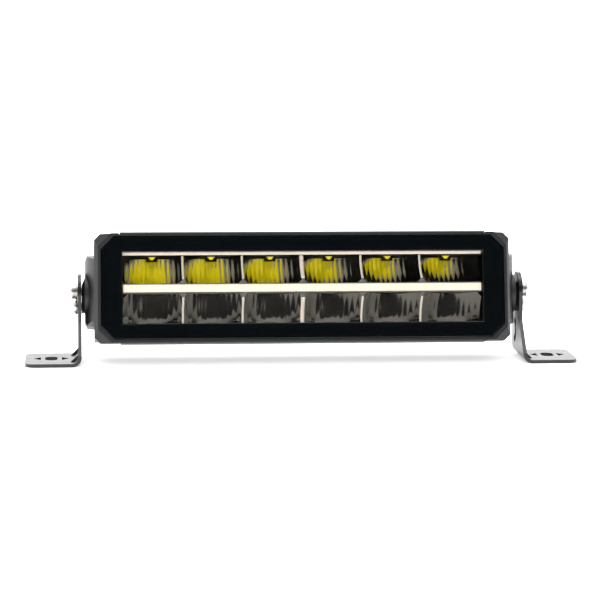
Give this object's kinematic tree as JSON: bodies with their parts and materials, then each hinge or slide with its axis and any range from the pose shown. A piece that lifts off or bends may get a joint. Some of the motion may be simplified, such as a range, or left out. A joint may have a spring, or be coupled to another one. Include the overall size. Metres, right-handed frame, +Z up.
{
  "type": "led light bar",
  "caption": "Two-row reflector driving light for a vehicle with a position-light strip, a finned housing and a pair of tilting foot brackets.",
  "frame": {"origin": "centre of the object's box, on the mounting surface under the two feet", "axes": "+X along the lamp, -Y is the way the lamp shines, +Z up from the mounting surface"},
  "size_m": [0.3796, 0.074, 0.0907],
  "materials": {
    "powder_coated_extrusion": "extruded aluminium with a satin black powder coat",
    "powder_coated_casting": "die-cast aluminium with a fine-textured black powder coat",
    "powder_coated_steel": "bent sheet steel with a satin black powder coat",
    "silicone": "moulded black silicone",
    "zinc_steel": "zinc-plated steel",
    "clear_lens": "clear hard-coated polycarbonate",
    "gloss_black": "glossy black polycarbonate, moulded in one with the clear window",
    "reflector_metal": "vacuum-metallised polycarbonate with fine vertical flutes",
    "white_board": "white solder mask",
    "green_board": "green solder mask",
    "thermal_pad": "soft grey-blue gap filler",
    "led_package": "white ceramic package",
    "yellow_phosphor": "yellow phosphor under clear silicone",
    "opal_light_guide": "milky acrylic with fine vertical ribs",
    "grey_carrier": "grey moulded polycarbonate",
    "ferrite": "grey ferrite block",
    "capacitor_can": "sleeved aluminium can",
    "connector_nylon": "natural nylon",
    "wire_insulation": "red silicone insulation",
    "black_nylon": "black glass-filled nylon",
    "black_rubber": "black rubber",
    "spacer_plastic": "black moulded polyamide",
    "brass_insert": "turned brass",
    "stainless_screw": "bright A2 stainless steel",
    "stainless_washer": "stamped A2 stainless steel"
  },
  "bodies": {
    "left_mount": {"left_bracket": "powder_coated_steel"},
    "lamp": {"housing": "powder_coated_extrusion", "left_end_cap": "powder_coated_casting", "right_end_cap": "powder_coated_casting", "left_cap_gasket": "silicone", "right_cap_gasket": "silicone", "end_cap_screws": "zinc_steel", "lens_window": "clear_lens", "lens_mask": "gloss_black", "lens_seal": "silicone", "upper_reflector": "reflector_metal", "lower_reflector": "reflector_metal", "reflector_screws": "zinc_steel", "upper_led_board": "white_board", "lower_led_board": "white_board", "board_screws": "zinc_steel", "thermal_pads": "thermal_pad", "upper_leds": "led_package", "lower_leds": "led_package", "upper_led_phosphors": "yellow_phosphor", "lower_led_phosphors": "yellow_phosphor", "light_guide": "opal_light_guide", "light_guide_carrier": "grey_carrier", "position_board": "white_board", "position_leds": "led_package", "driver_board": "green_board", "driver_pad": "thermal_pad", "driver_inductors": "ferrite", "driver_capacitors": "capacitor_can", "driver_connector": "connector_nylon", "led_wires": "wire_insulation", "cable_gland": "black_nylon", "gland_nut": "black_nylon", "gland_seal": "black_rubber", "gland_locknut": "zinc_steel", "breather_vent": "black_nylon", "left_pivot_spacer": "spacer_plastic", "right_pivot_spacer": "spacer_plastic", "threaded_inserts": "brass_insert", "pivot_screws": "stainless_screw", "pivot_spring_washers": "stainless_washer", "pivot_washers": "stainless_washer", "lock_screws": "stainless_screw", "lock_washers": "stainless_washer"},
    "right_mount": {"right_bracket": "powder_coated_steel"}
  },
  "joints": [
    {"name": "lamp_tilt", "type": "hinge", "parent": "left_mount", "child": "lamp", "pos_m": [-0.1525, -0.00084, 0.0474], "axis": [-1, 0, 0], "range_deg": [-33, 32]},
    {"name": "right_bracket_tilt", "type": "hinge", "parent": "lamp", "child": "right_mount", "pos_m": [0.1525, -0.00084, 0.0474], "axis": [-1, 0, 0], "range_deg": [-32, 33]}
  ],
  "couplings": [
    {"joint": "right_bracket_tilt", "follows": "lamp_tilt", "ratio": -1}
  ]
}
